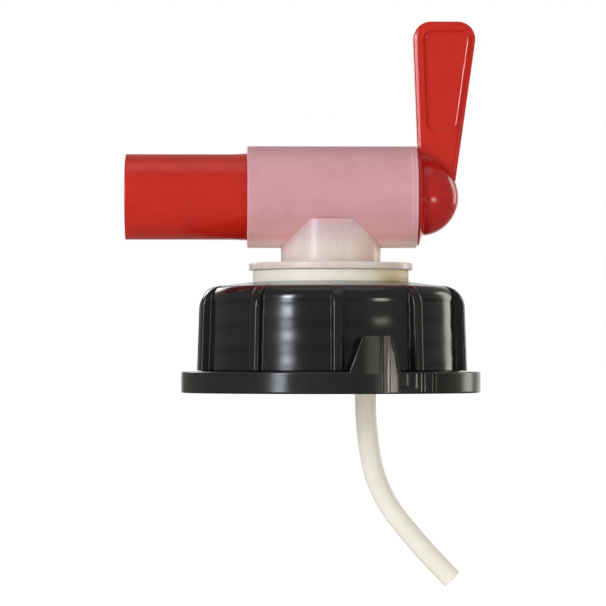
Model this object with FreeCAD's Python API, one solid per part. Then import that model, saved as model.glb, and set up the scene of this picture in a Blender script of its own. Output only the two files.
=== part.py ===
import FreeCAD, Part
import math
import os

from FreeCAD import Vector

# A canister tap on its screw cap, in millimetres.
# The origin is on the cap's axis in the gasket's sealing face. +Z points up out of the canister,
# -X along the spout. The plug stands closed, with its lever up.

# Clearances
running_fit = 0.05
turning_gap = 0.15
loose_gap = 0.3
bridge_gap = 0.2
edge_chamfer = 0.3
cut_margin = 1.0

# Gasket and adapter ring
gasket_thickness = 2.0
gasket_inner_radius = 22.5
gasket_outer_radius = 28.8
flange_thickness = 1.6
flange_radius = 28.6
collar_radius = 20.8
collar_wall = 1.8
collar_top = 10.3

# Screw cap
cap_hole_radius = collar_radius + loose_gap
cap_underside = gasket_thickness + flange_thickness + turning_gap
cap_top = 7.2
cap_crown_drop = 1.7
cap_bottom = -16.5
cap_top_radius = 34.2
cap_bottom_radius = 34.9
cap_shoulder_radius = 3.6
shoulder_steps = 3
cap_thread_root_radius = 30.75
rib_count = 10
rib_width = 2.9
rib_top_radius = 36.4
rib_bottom_radius = 37.2
rib_shoulder_radius = 6.0
rib_edge_chamfer = 0.6
rib_start_angle = 1.0
rib_crown_rise = 0.35
rib_crown_run = 2.8
cap_hole_chamfer = 0.4

# Tear band
band_radius = 40.0
band_wall = 1.5
band_web = 1.2
band_height = 5.7
band_edge_chamfer = 0.5
band_inner_radius = 31.6
band_inner_wall = 1.4
band_top = cap_bottom - bridge_gap
bridge_width = 1.6
bridge_depth = 1.2
lug_count = 10
lug_reach = 0.7
lug_height = 2.0
lug_width = 5.0
lug_start = 0.6
tear_groove_width = 0.9
tear_groove_depth = 0.7
tear_groove_angles = (35.0, 40.3)
notch_angle = 28.6
notch_width = 4.7
notch_depth = 1.0
notch_sill = 0.7

# Pull tab on the band, measured across from its own angle
tab_angle = 17.5
tab_height = 9.3
tab_thickness = 1.2
tab_foot_left = -8.7
tab_top_left = -5.2
tab_corner_radius = 0.5
tab_gusset_top = 6.9
tab_gusset_knee = 4.7
tab_gusset_top_right = 3.1
tab_gusset_knee_right = 4.1
tab_gusset_foot_right = 5.1
tab_rib_left = -1.05
tab_rib_width = 1.05
tab_rib_proud = 0.35
tab_bar_left = 0.35
tab_bar_width = 1.75
tab_bar_proud = 0.6

# Tap body
disc_radius = 21.9
disc_thickness = 1.9
spigot_wall = 1.9
spigot_bottom = 0.5
snap_bead_height = 0.8
snap_bead_lead = 0.6
snap_bead_length = gasket_thickness - spigot_bottom
neck_radius = 13.35
neck_wall = 2.0
neck_shelf_drop = 6.1
barrel_axis_height = 29.9
barrel_radius = 13.6
barrel_left = -22.4
barrel_right = 22.9
bore_radius = 11.75
port_radius = 6.5
port_offset = -3.2
vent_offset = 9.4
vent_pipe_radius = 2.8
vent_bore_radius = 1.2
vent_port_radius = 1.5
vent_pipe_bottom = 2.0
nipple_radius = 1.8
nipple_length = 8.0

# Plug
spout_tip = -54.9
spout_radius = 11.5
spout_straight_end = -26.0
spout_wall = 1.9
plug_radius = bore_radius - running_fit
bead_position = 21.3
bead_width = 1.2
bead_height = 0.4
knob_collar_radius = 13.0
knob_collar_edge = 0.4
knob_collar_cone = 1.1
dome_radius = 10.4
dome_wall = 2.4
dome_steps = 6
dome_centre = 23.7
dome_bore_end = 30.5
dome_bore_end_radius = 3.0
channel_end = 5.4
channel_wall = 1.2
partition_offset = 5.8
partition_thickness = 1.0

# Lever
lever_top = 76.9
lever_thickness = 4.0
lever_left_at_top = 21.9
lever_left_at_axis = 23.65
lever_right_at_top = 39.4
lever_right_at_axis = 32.7
lever_corner_radius = 4.7
lever_edge_chamfer = 0.6
panel_left_margin = 2.6
panel_right_margin = 1.9
panel_top_margin = 2.4
panel_bottom = 47.6
panel_depth = 0.5
panel_corner_radius = 2.4

# Vent tube
tube_outer_radius = 2.8
tube_wall = 1.0
tube_route = [
    (vent_offset, vent_pipe_bottom),
    (9.25, -31.4),
    (12.1, -47.9),
    (21.8, -61.3),
    (32.4, -72.2),
]
arc_share = 0.45

X_AXIS = Vector(1, 0, 0)
Y_AXIS = Vector(0, 1, 0)
Z_AXIS = Vector(0, 0, 1)
ORIGIN = Vector(0, 0, 0)


def in_xz(u, v, y=0.0):
    return Vector(u, y, v)


def rounded_face(corners, place=in_xz):
    """A flat face. A corner is (u, v), (u, v, radius of its round), or has a fourth value:
    the round is then that many straight steps, and one step is a chamfer."""
    edges = []
    starts = []
    ends = []
    rounds = []
    count = len(corners)
    for index, corner in enumerate(corners):
        here = place(corner[0], corner[1])
        before = place(*corners[index - 1][:2]) - here
        after = place(*corners[(index + 1) % count][:2]) - here
        radius = corner[2] if len(corner) > 2 else 0
        if radius == 0:
            starts.append(here)
            ends.append(here)
            rounds.append([])
            continue
        half = before.getAngle(after) / 2
        reach = radius / math.tan(half)
        before.normalize()
        after.normalize()
        inward = before + after
        inward.normalize()
        start = here + before * reach
        end = here + after * reach
        arc = Part.Arc(start, here + inward * (radius / math.sin(half) - radius), end).toShape()
        starts.append(start)
        ends.append(end)
        if len(corner) < 4:
            rounds.append([arc])
        else:
            spots = arc.discretize(corner[3] + 1)
            rounds.append([Part.LineSegment(*pair).toShape() for pair in zip(spots, spots[1:])])
    for index in range(count):
        edges += rounds[index]
        following = (index + 1) % count
        if ends[index].distanceToPoint(starts[following]) > 1e-6:
            edges.append(Part.LineSegment(ends[index], starts[following]).toShape())
    return Part.Face(Part.Wire(edges))


def turned_about_z(corners):
    return rounded_face(corners).revolve(ORIGIN, Z_AXIS, 360)


def turned_about_barrel(corners):
    """Corners are (x, radius), in the half plane above the barrel's axis."""
    face = rounded_face([(c[0], c[1] + barrel_axis_height, *c[2:]) for c in corners])
    return face.revolve(Vector(0, 0, barrel_axis_height), X_AXIS, 360)


def ring(inner, outer, low, high):
    return turned_about_z([(inner, low), (outer, low), (outer, high), (inner, high)])


def upright(radius, low, high, x=0.0, y=0.0):
    return Part.makeCylinder(radius, high - low, Vector(x, y, low), Z_AXIS)


def along_barrel(radius, left, right):
    return Part.makeCylinder(radius, right - left, Vector(left, 0, barrel_axis_height), X_AXIS)


def turned(shape, degrees):
    copy = shape.copy()
    copy.rotate(ORIGIN, Z_AXIS, degrees)
    return copy


def around(shape, count, start=0.0):
    return [turned(shape, start + step * 360.0 / count) for step in range(count)]


def edges_where(shape, test):
    return [edge for edge in shape.Edges if test(edge)]


def make_gasket():
    return ring(gasket_inner_radius, gasket_outer_radius, 0, gasket_thickness)


def make_adapter_ring():
    """A collar through the cap's hole on a flange that the cap pulls down."""
    inner = collar_radius - collar_wall
    low = gasket_thickness
    return turned_about_z([
        (inner, low),
        (flange_radius, low),
        (flange_radius, low + flange_thickness),
        (collar_radius, low + flange_thickness),
        (collar_radius, collar_top),
        (inner, collar_top),
    ])


def make_rib():
    """One grip rib, standing at the front before it is turned to its place."""
    root = (cap_thread_root_radius + cap_bottom_radius) / 2
    crown = cap_top - cap_crown_drop + rib_crown_rise
    face = rounded_face([
        (root, cap_bottom),
        (rib_bottom_radius, cap_bottom),
        (rib_top_radius, crown, rib_shoulder_radius, shoulder_steps),
        (root - rib_crown_run, crown),
    ])
    rib = face.extrude(Y_AXIS * rib_width)
    rib.translate(Y_AXIS * (-rib_width / 2))

    def outer_edge(edge):
        middle = edge.valueAt((edge.FirstParameter + edge.LastParameter) / 2)
        flat = abs(abs(middle.y) - rib_width / 2) < 1e-6 and len(edge.Vertexes) == 2
        along = abs(edge.Vertexes[0].Y - edge.Vertexes[-1].Y) < 1e-6
        outside = middle.x > root + 1e-3 and middle.z > cap_bottom + 1e-3
        return flat and along and outside and middle.z < crown - 1e-3

    return turned(rib.makeChamfer(rib_edge_chamfer, edges_where(rib, outer_edge)), -90)


def make_screw_cap():
    crown_low = cap_top - cap_crown_drop
    shell = turned_about_z([
        (cap_hole_radius, cap_underside),
        (cap_hole_radius, cap_top, cap_hole_chamfer, 1),
        (cap_top_radius, crown_low, cap_shoulder_radius, shoulder_steps),
        (cap_bottom_radius, cap_bottom),
        (cap_thread_root_radius, cap_bottom),
        (cap_thread_root_radius, cap_underside),
    ])
    return shell.fuse(around(make_rib(), rib_count, rib_start_angle)).removeSplitter()


def make_pull_tab():
    """A tapered plate with a gusset, curved with the band's rim, and a rib and a bar down its front."""
    inner = band_radius - tab_thickness
    foot = band_top - band_height
    root = band_top - band_web
    top = band_top + tab_height
    gusset_top = band_top + tab_gusset_top
    bar_right = tab_bar_left + tab_bar_width
    outline = rounded_face([
        (tab_foot_left, root),
        (tab_gusset_foot_right, root),
        (tab_gusset_foot_right, band_top),
        (tab_gusset_knee_right, band_top + tab_gusset_knee),
        (tab_gusset_top_right, gusset_top),
        (bar_right, gusset_top),
        (bar_right, top),
        (tab_top_left, top, tab_corner_radius),
        (tab_foot_left, band_top),
    ])
    plate = outline.extrude(Y_AXIS * -(band_radius + cut_margin))
    plate = plate.common(ring(inner, band_radius, root, top))

    def upright_bar(left, width, proud):
        depth = tab_thickness + proud
        return Part.makeBox(width, depth, top - foot, Vector(left, -band_radius - proud, foot))

    rib = upright_bar(tab_rib_left, tab_rib_width, tab_rib_proud)
    bar = upright_bar(tab_bar_left, tab_bar_width, tab_bar_proud)
    return turned(plate.fuse([rib, bar]), tab_angle)


def make_notch():
    """What is cut from the rim beside the tab: it fades out to the right and slopes out to its sill."""
    half = notch_width / 2
    deep = notch_depth - band_radius
    near = -band_radius - cut_margin
    sill = band_top - band_height + notch_sill
    high = band_top + cut_margin
    plan = rounded_face([
        (-half, near),
        (half, near),
        (half, -band_radius),
        (0, deep),
        (-half, deep),
    ], lambda u, v: Vector(u, v, sill))
    side = rounded_face([
        (near, sill),
        (-band_radius, sill),
        (deep, sill + notch_depth),
        (deep, high),
        (near, high),
    ], lambda u, v: Vector(-half, u, v))
    notch = plan.extrude(Z_AXIS * (high - sill)).common(side.extrude(X_AXIS * notch_width))
    return turned(notch, notch_angle)


def make_tear_band():
    """A rim and an inner ring on one web, with the bridges, lugs, tear grooves, notch and pull tab."""
    low = band_top - band_height
    inner_out = band_inner_radius + band_inner_wall
    rim_in = band_radius - band_wall
    band = turned_about_z([
        (band_inner_radius, low),
        (inner_out, low),
        (inner_out, band_top - band_web),
        (rim_in, band_top - band_web),
        (rim_in, low),
        (band_radius, low, band_edge_chamfer, 1),
        (band_radius, band_top, band_edge_chamfer, 1),
        (band_inner_radius, band_top),
    ])
    bridge = Part.makeBox(
        bridge_width,
        bridge_depth,
        bridge_gap,
        Vector(-bridge_width / 2, bridge_depth / 2 - cap_bottom_radius, band_top),
    )
    lug_low = low + lug_start
    wedge = rounded_face([
        (0, lug_low),
        (lug_reach, lug_low + lug_height),
        (-band_inner_wall / 2, lug_low + lug_height),
        (-band_inner_wall / 2, lug_low),
    ], lambda u, v: Vector(-lug_width / 2, -band_inner_radius + u, v))
    lug = wedge.extrude(X_AXIS * lug_width)
    additions = around(bridge, rib_count, rib_start_angle)
    additions += around(lug, lug_count, rib_start_angle + 180.0 / lug_count)
    band = band.fuse(additions + [make_pull_tab()])
    groove = Part.makeBox(
        tear_groove_width,
        tear_groove_depth + cut_margin,
        band_height + 2 * cut_margin,
        Vector(-tear_groove_width / 2, -band_radius - cut_margin, low - cut_margin),
    )
    grooves = [turned(groove, angle) for angle in tear_groove_angles]
    return band.cut(grooves + [make_notch()]).removeSplitter()


def make_tap_body():
    """Barrel and neck on a disc, with the spigot, the ports, the vent pipe and its nipple."""
    disc_top = collar_top + disc_thickness
    shelf = barrel_axis_height - neck_shelf_drop
    neck_bore = neck_radius - neck_wall
    spigot_radius = collar_radius - collar_wall - running_fit
    spigot_bore = spigot_radius - spigot_wall
    foot = turned_about_z([
        (spigot_bore, spigot_bottom),
        (spigot_radius - snap_bead_lead, spigot_bottom),
        (spigot_radius + snap_bead_height, spigot_bottom + snap_bead_length / 2),
        (spigot_radius + snap_bead_height, gasket_thickness),
        (spigot_radius, gasket_thickness),
        (spigot_radius, collar_top),
        (disc_radius, collar_top, edge_chamfer, 1),
        (disc_radius, disc_top, edge_chamfer, 1),
        (neck_bore, disc_top),
        (neck_bore, collar_top),
        (spigot_bore, collar_top),
    ])
    neck = ring(neck_bore, neck_radius, collar_top, shelf)
    barrel = along_barrel(barrel_radius, barrel_left, barrel_right)
    pipe_top = barrel_axis_height - (bore_radius + barrel_radius) / 2
    pipe = upright(vent_pipe_radius, vent_pipe_bottom, pipe_top, vent_offset)
    nipple = upright(nipple_radius, vent_pipe_bottom - nipple_length, pipe_top, vent_offset)
    body = barrel.fuse([foot, neck, pipe, nipple])
    port = upright(port_radius, shelf - barrel_radius, barrel_axis_height, port_offset)
    vent = upright(
        vent_bore_radius, vent_pipe_bottom - nipple_length, barrel_axis_height, vent_offset
    )
    bore = turned_about_barrel([
        (barrel_left, 0),
        (barrel_left, bore_radius),
        (bead_position - bead_width, bore_radius),
        (bead_position - bead_width / 2, bore_radius + bead_height),
        (bead_position + bead_width / 2, bore_radius + bead_height),
        (bead_position + bead_width, bore_radius),
        (barrel_right, bore_radius),
        (barrel_right, 0),
    ])
    return body.cut([bore, port, vent]).removeSplitter()


def lever_edge(side_at_top, side_at_axis, z):
    """The x of one of the lever's slanting sides at a height."""
    share = (z - barrel_axis_height) / (lever_top - barrel_axis_height)
    return side_at_axis + (side_at_top - side_at_axis) * share


def make_lever():
    """A tapered plate with a raised rim round a sunk panel on each face."""
    root = barrel_axis_height
    face = rounded_face([
        (lever_left_at_axis, root),
        (lever_right_at_axis, root),
        (lever_right_at_top, lever_top, lever_corner_radius),
        (lever_left_at_top, lever_top, lever_corner_radius),
    ])
    plate = face.extrude(Y_AXIS * lever_thickness)
    plate.translate(Y_AXIS * (-lever_thickness / 2))

    def rim_edge(edge):
        middle = edge.valueAt((edge.FirstParameter + edge.LastParameter) / 2)
        return abs(abs(middle.y) - lever_thickness / 2) < 1e-6 and middle.z > root + 1e-3

    plate = plate.makeChamfer(lever_edge_chamfer, edges_where(plate, rim_edge))
    panel_top = lever_top - panel_top_margin
    sides = [(lever_left_at_top, lever_left_at_axis, panel_left_margin),
             (lever_right_at_top, lever_right_at_axis, -panel_right_margin)]
    (bottom_left, top_left), (bottom_right, top_right) = [
        [lever_edge(at_top, at_axis, z) + margin for z in (panel_bottom, panel_top)]
        for at_top, at_axis, margin in sides
    ]
    panel = rounded_face([
        (bottom_left, panel_bottom, panel_corner_radius),
        (bottom_right, panel_bottom, panel_corner_radius),
        (top_right, panel_top, panel_corner_radius),
        (top_left, panel_top, panel_corner_radius),
    ], lambda u, v: in_xz(u, v, lever_thickness / 2 - panel_depth))
    front = panel.extrude(Y_AXIS * panel_depth * 2)
    back = front.mirror(ORIGIN, Y_AXIS)
    return plate.cut([front, back])


def make_plug():
    """Spout, plug body, collar, dome and lever in one piece, with a liquid and an air channel."""
    channel_radius = spout_radius - spout_wall
    collar_left = barrel_right + turning_gap
    collar_right = collar_left + knob_collar_edge
    dome_left = collar_right + knob_collar_cone
    dome_right = dome_centre + dome_radius
    skin = turned_about_barrel([
        (spout_tip, 0),
        (spout_tip, spout_radius, edge_chamfer, 1),
        (spout_straight_end, spout_radius),
        (barrel_left, plug_radius),
        (bead_position - bead_width, plug_radius),
        (bead_position - bead_width / 2, plug_radius + bead_height),
        (bead_position + bead_width / 2, plug_radius + bead_height),
        (bead_position + bead_width, plug_radius),
        (collar_left, plug_radius),
        (collar_left, knob_collar_radius),
        (collar_right, knob_collar_radius),
        (dome_left, dome_radius),
        (dome_right, dome_radius, dome_right - dome_left, dome_steps),
        (dome_right, 0),
    ])
    solid = skin.fuse(make_lever())
    whole_bore = turned_about_barrel([
        (spout_tip - cut_margin, 0),
        (spout_tip - cut_margin, channel_radius),
        (dome_centre - dome_wall, channel_radius),
        (dome_bore_end, dome_bore_end_radius),
        (dome_bore_end, 0),
    ])
    box_side = 4 * barrel_radius
    partition = Part.makeBox(
        channel_end - spout_tip,
        partition_thickness,
        box_side,
        Vector(spout_tip, -partition_offset - partition_thickness, barrel_axis_height - box_side / 2),
    )
    end_wall = Part.makeBox(
        channel_wall,
        box_side,
        box_side,
        Vector(channel_end, -partition_offset - partition_thickness,
               barrel_axis_height - box_side / 2),
    )
    hollow = whole_bore.cut([partition, end_wall])
    towards_back = Y_AXIS
    window = Part.makeCylinder(
        port_radius, barrel_radius, Vector(port_offset, 0, barrel_axis_height), towards_back
    )
    vent = Part.makeCylinder(
        vent_port_radius, barrel_radius, Vector(vent_offset, 0, barrel_axis_height), towards_back
    )
    return solid.cut([hollow, window, vent]).removeSplitter()


def route_path(points):
    """Straight runs joined by tangent arcs, each as large as its two runs allow."""
    spots = [in_xz(x, z) for x, z in points]
    edges = []
    last = spots[0]
    for before, here, after in zip(spots, spots[1:], spots[2:]):
        back = before - here
        ahead = after - here
        shorter = min(back.Length, ahead.Length)
        turn = math.pi - back.getAngle(ahead)
        radius = arc_share * shorter / math.tan(turn / 2)
        print(f"vent tube bend radius {radius:.1f} mm")
        back.normalize()
        ahead.normalize()
        towards_middle = back + ahead
        towards_middle.normalize()
        start = here + back * (arc_share * shorter)
        end = here + ahead * (arc_share * shorter)
        middle = here + towards_middle * (radius / math.cos(turn / 2) - radius)
        edges.append(Part.LineSegment(last, start).toShape())
        edges.append(Part.Arc(start, middle, end).toShape())
        last = end
    edges.append(Part.LineSegment(last, spots[-1]).toShape())
    return Part.Wire(edges)


def swept(path, radius):
    start = path.Edges[0].valueAt(path.Edges[0].FirstParameter)
    direction = path.Edges[0].tangentAt(path.Edges[0].FirstParameter)
    section = Part.Wire(Part.makeCircle(radius, start, direction))
    return path.makePipeShell([section], True, True)


def make_vent_tube():
    path = route_path(tube_route)
    inner = tube_outer_radius - tube_wall
    tube = swept(path, tube_outer_radius).cut(swept(path, inner))
    expected = math.pi * (tube_outer_radius**2 - inner**2) * path.Length
    print(f"vent tube length {path.Length:.1f} mm, volume {tube.Volume:.0f} of {expected:.0f} mm3")
    return tube


def main():
    os.makedirs("parts", exist_ok=True)
    pieces = {
        "cap_gasket": make_gasket(),
        "adapter_ring": make_adapter_ring(),
        "screw_cap": make_screw_cap(),
        "tear_band": make_tear_band(),
        "tap_body": make_tap_body(),
        "plug": make_plug(),
        "vent_tube": make_vent_tube(),
    }
    for name, shape in pieces.items():
        if len(shape.Solids) == 1:
            shape = shape.Solids[0]
        print(name, "solids", len(shape.Solids), "valid", shape.isValid(), f"{shape.Volume:.0f} mm3")
        shape.exportStep(f"parts/{name}.step")


main()
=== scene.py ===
import math

import bmesh
import bpy
import numpy as np
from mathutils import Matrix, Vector


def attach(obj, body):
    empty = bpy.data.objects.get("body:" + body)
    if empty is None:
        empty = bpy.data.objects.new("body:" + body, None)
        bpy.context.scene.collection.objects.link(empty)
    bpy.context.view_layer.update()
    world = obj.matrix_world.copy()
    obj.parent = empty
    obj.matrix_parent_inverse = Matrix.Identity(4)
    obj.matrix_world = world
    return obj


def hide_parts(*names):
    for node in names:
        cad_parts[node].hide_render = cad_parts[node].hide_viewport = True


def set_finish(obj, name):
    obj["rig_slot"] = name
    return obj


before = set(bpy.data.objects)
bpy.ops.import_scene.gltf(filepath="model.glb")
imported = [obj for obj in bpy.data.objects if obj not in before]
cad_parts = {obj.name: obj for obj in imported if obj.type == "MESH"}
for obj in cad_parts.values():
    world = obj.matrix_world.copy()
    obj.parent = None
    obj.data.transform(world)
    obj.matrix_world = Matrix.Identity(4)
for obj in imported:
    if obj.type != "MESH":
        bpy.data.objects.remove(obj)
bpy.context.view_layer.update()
mm = 0.001
fullTurn = 2 * math.pi
barrelAxis = 29.9  # height of the barrel's axis over the sealing face, mm
sharpAngle = 38  # edges that turn by more degrees than this are shaded sharp


def screenColour(red, green, blue):
    # a colour as a screen shows it, 0 to 255, turned into linear light: ((c + 0.055) / 1.055) ^ 2.4
    share = np.array([red, green, blue]) / 255
    linear = np.where(share <= 0.04045, share / 12.92, ((share + 0.055) / 1.055) ** 2.4)
    return (*linear.tolist(), 1.0)


def unit(lines):
    # every direction at length 1
    return lines / np.maximum(np.linalg.norm(lines, axis=-1, keepdims=True), 1e-9)


def cornerSides(corners):
    # Directions from each corner back to the one before and ahead to the next, the middle line between them,
    # and half the angle that they make.
    spots = np.array([corner[:2] for corner in corners], float)
    back = unit(np.roll(spots, 1, 0) - spots)
    ahead = unit(np.roll(spots, -1, 0) - spots)
    half = np.arccos(np.clip((back * ahead).sum(1), -1, 0.999999)) / 2
    return spots, back, ahead, unit(back + ahead), half


def roundedOutline(corners, steps=5, guard=0.12):
    # Each corner (u, v, radius in mm) becomes an arc tangent to its two sides. The arc's centre lies on the
    # corner's middle line, radius / sin(half angle) away, and the arc turns by 180 degrees less the angle.
    # A guard point beside each end of the arc keeps the flats beside it flat in the shading, so every
    # corner gives steps + 2 points.
    spots, back, ahead, middle, half = cornerSides(corners)
    radii = np.array([corner[2] if len(corner) > 2 else 0.0 for corner in corners])
    centre = spots + middle * (radii / np.sin(half))[:, None]
    reach = (radii / np.tan(half))[:, None]
    start = spots + back * reach - centre
    turn = (math.pi - 2 * half) * np.sign(back[:, 1] * ahead[:, 0] - back[:, 0] * ahead[:, 1] + 1e-12)
    angle = turn[:, None] * np.linspace(0, 1, steps)
    arc = np.stack([
        start[:, :1] * np.cos(angle) - start[:, 1:] * np.sin(angle),
        start[:, :1] * np.sin(angle) + start[:, 1:] * np.cos(angle),
    ], -1) + centre[:, None]
    rest = np.where(radii > 0, guard, 0.0)[:, None]
    before = spots + back * (reach + rest)
    after = spots + ahead * (reach + rest)
    return np.concatenate([before[:, None], arc, after[:, None]], 1).reshape(-1, 2)


def openOutline(corners, steps=5, guard=0.12):
    # a rounded run that isn't closed: its first and last corner only say which way its ends point
    perCorner = steps + 2
    return roundedOutline(corners, steps, guard)[perCorner:-perCorner]


def rectangle(left, low, right, high, radius):
    # its four corners in order round it, from the lower left one
    return [(left, low, radius), (right, low, radius), (right, high, radius), (left, high, radius)]


def insetCorners(corners, distance):
    # every side moves in by the distance: a corner moves along its middle line by distance / sin(half angle)
    spots, back, ahead, middle, half = cornerSides(corners)
    moved = spots + middle * (distance / np.sin(half))[:, None]
    return [(*spot, max(corner[2] - distance, 0.05)) for spot, corner in zip(moved.tolist(), corners)]


def withRows(outline, corner, steps, count):
    # extra points at even distances on the flat that follows a corner, counted from 1
    first = corner * (steps + 2)
    rows = np.linspace(outline[first - 1], outline[first], count + 2)[1:-1]
    return np.insert(outline, first, rows, axis=0)


def aboutCap(outline, steps=144, centre=0.0):
    # An outline of (radius, z) turned about the cap's axis, or about a line beside it:
    # x = centre + radius sin(angle), y = -radius cos(angle).
    angle = np.linspace(0, fullTurn, steps, endpoint=False)[:, None]
    radius, height = outline[:, 0], outline[:, 1]
    return np.stack([centre + radius * np.sin(angle), -radius * np.cos(angle), height + 0 * angle], -1)


def aboutBarrel(outline, steps=144):
    # An outline of (x, radius) turned about the barrel's axis: y = radius cos(angle),
    # z = axis + radius sin(angle).
    angle = np.linspace(0, fullTurn, steps, endpoint=False)[:, None]
    along, radius = outline[:, 0], outline[:, 1]
    return np.stack([along + 0 * angle, radius * np.cos(angle), barrelAxis + radius * np.sin(angle)], -1)


def featureColumns(centres, section, spacing):
    # Columns round an axis: at each centre (an angle) the section's points (u in mm, height share), then
    # even columns up to the next centre. Each is its start angle, u, height share, share of the gap, and gap.
    centres = np.sort(np.radians(centres))
    gaps = np.diff(np.append(centres, centres[0] + fullTurn))
    parts = []
    for centre, gap in zip(centres, gaps):
        fill = max(int(round(gap / math.radians(spacing))), 2)
        share = np.linspace(0, 1, fill + 1)[1:-1]
        raised = np.column_stack([np.full(len(section), centre), section, 0 * section])
        raised[:, 4] = gap
        plain = np.column_stack([
            np.full(len(share), centre), np.full(len(share), section[-1, 0]), 0 * share, share,
            np.full(len(share), gap),
        ])
        parts += [raised, plain]
    return np.concatenate(parts).T


def featuredTurn(plain, raised, columns):
    # A turned shape with features: radius and z go from the plain outline to the raised one by the height
    # share. angle = start + u / radius + share * (gap - width / radius), so a feature keeps its width in mm.
    start, across, height, share, gap = (column[:, None] for column in columns)
    shape = plain + (raised - plain) * height[:, :, None]
    radius, up = shape[..., 0], shape[..., 1]
    width = 2 * np.abs(across).max()
    angle = start + across / radius + share * (gap - width / radius)
    return np.stack([radius * np.sin(angle), -radius * np.cos(angle), up], -1), angle


def swung(points, degrees):
    # points turned about the cap's axis: x cos - y sin, x sin + y cos
    turn = math.radians(degrees)
    x, y = points[..., 0], points[..., 1]
    return np.stack([
        x * math.cos(turn) - y * math.sin(turn), x * math.sin(turn) + y * math.cos(turn), points[..., 2],
    ], -1)


def closedShell(grid):
    # rows x columns x 3, joined to quads and closed both ways round
    index = np.arange(grid.shape[0] * grid.shape[1]).reshape(grid.shape[:2])
    nextColumn = np.roll(index, -1, 1)
    quads = np.stack([index, nextColumn, np.roll(nextColumn, -1, 0), np.roll(index, -1, 0)], -1)
    return grid.reshape(-1, 3), quads.reshape(-1, 4), []


def cappedShell(grid):
    # closed round each row, with the first and the last row as flat end faces
    points, quads, ends = closedShell(grid)
    columns = grid.shape[1]
    index = np.arange(len(points)).reshape(-1, columns)
    return points, quads[:-columns], [index[0], index[-1]]


def slab(corners, low, high, edge, place):
    # an outline carried from depth low to high, drawn in by a quarter circle at both ends
    lean = np.linspace(0, math.pi / 2, 4)
    insets = np.concatenate([edge * (1 - np.sin(lean)), edge * (1 - np.sin(lean[::-1]))])
    depths = np.concatenate([low + edge * (1 - np.cos(lean)), high - edge * (1 - np.cos(lean[::-1]))])
    loops = [roundedOutline(insetCorners(corners, inset), 4, 0.02) for inset in insets]
    depth = np.repeat(depths[:, None], len(loops[0]), 1)
    loops = np.array(loops)
    return cappedShell(place(loops[..., 0], loops[..., 1], depth))


def finishMesh(mesh):
    # merges seams and poles, turns the faces outwards and keeps the sharp edges
    work = bmesh.new()
    work.from_mesh(mesh)
    bmesh.ops.remove_doubles(work, verts=work.verts, dist=1e-7)
    bmesh.ops.recalc_face_normals(work, faces=work.faces)
    work.to_mesh(mesh)
    work.free()
    mesh.polygons.foreach_set("use_smooth", np.ones(len(mesh.polygons), bool))
    mesh.set_sharp_from_angle(angle=math.radians(sharpAngle))
    mesh.update()


def makePiece(name, shells, body, slotName, look, stands=()):
    # closed shells in mm become one object that rides its body, and stands for the CAD's nodes if it has any
    points = np.concatenate([shell[0] for shell in shells]) * mm
    faces, count = [], 0
    for shellPoints, quads, ends in shells:
        faces += (quads + count).tolist() + [(end + count).tolist() for end in ends]
        count += len(shellPoints)
    mesh = bpy.data.meshes.new(name)
    mesh.from_pydata(points.tolist(), [], faces)
    finishMesh(mesh)
    piece = bpy.data.objects.new(name, mesh)
    bpy.context.scene.collection.objects.link(piece)
    mesh.materials.append(look)
    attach(piece, body)
    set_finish(piece, slotName)
    if stands:
        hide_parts(*stands)
    return piece


def cutPiece(piece, shells):
    # takes closed shells out of a piece for good, by a boolean that is applied at once
    cutter = makePiece(piece.name + "Cutter", shells, "tap_body", piece["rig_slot"], piece.data.materials[0])
    cut = piece.modifiers.new("cut", "BOOLEAN")
    cut.operation = "DIFFERENCE"
    cut.solver = "EXACT"
    cut.object = cutter
    graph = bpy.context.evaluated_depsgraph_get()
    mesh = bpy.data.meshes.new_from_object(piece.evaluated_get(graph))
    piece.modifiers.remove(cut)
    bpy.data.objects.remove(cutter)
    mesh.name = piece.name
    piece.data = mesh
    mesh.set_sharp_from_angle(angle=math.radians(sharpAngle))


def nodeOf(tree, kind, sockets=None, **settings):
    # a new node with its settings; a socket's value is a number, a colour or another node's output
    node = tree.nodes.new(kind)
    for key, value in settings.items():
        setattr(node, key, value)
    for place, value in (sockets or {}).items():
        if isinstance(value, bpy.types.NodeSocket):
            tree.links.new(value, node.inputs[place])
        else:
            node.inputs[place].default_value = value
    return node


def mathOf(tree, operation, first, second=0.0):
    return nodeOf(tree, "ShaderNodeMath", {0: first, 1: second}, operation=operation).outputs[0]


def axisOf(tree, place, axis):
    # x, y or z of a place, for 0, 1 or 2
    return nodeOf(tree, "ShaderNodeSeparateXYZ", {0: place}).outputs[axis]


def rangeOf(tree, value, low, high, newLow=0.0, newHigh=1.0):
    # a smooth step: the new low up to the low value, the new high past the high one
    return nodeOf(tree, "ShaderNodeMapRange", {
        "Value": value, "From Min": low, "From Max": high, "To Min": newLow, "To Max": newHigh,
    }, interpolation_type="SMOOTHSTEP").outputs["Result"]


def mixOf(tree, share, first, second):
    return nodeOf(tree, "ShaderNodeMix", {0: share, 6: first, 7: second}, data_type="RGBA").outputs[2]


def noiseOf(tree, place, scale, detail=2.0, roughness=0.5, stretch=(1, 1, 1)):
    # cloudy noise of the scale per metre, finer still along an axis by its stretch
    stretched = nodeOf(tree, "ShaderNodeMapping", {"Vector": place, "Scale": stretch}).outputs[0]
    return nodeOf(tree, "ShaderNodeTexNoise", {
        "Vector": stretched, "Scale": scale, "Detail": detail, "Roughness": roughness,
    }).outputs["Fac"]


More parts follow.
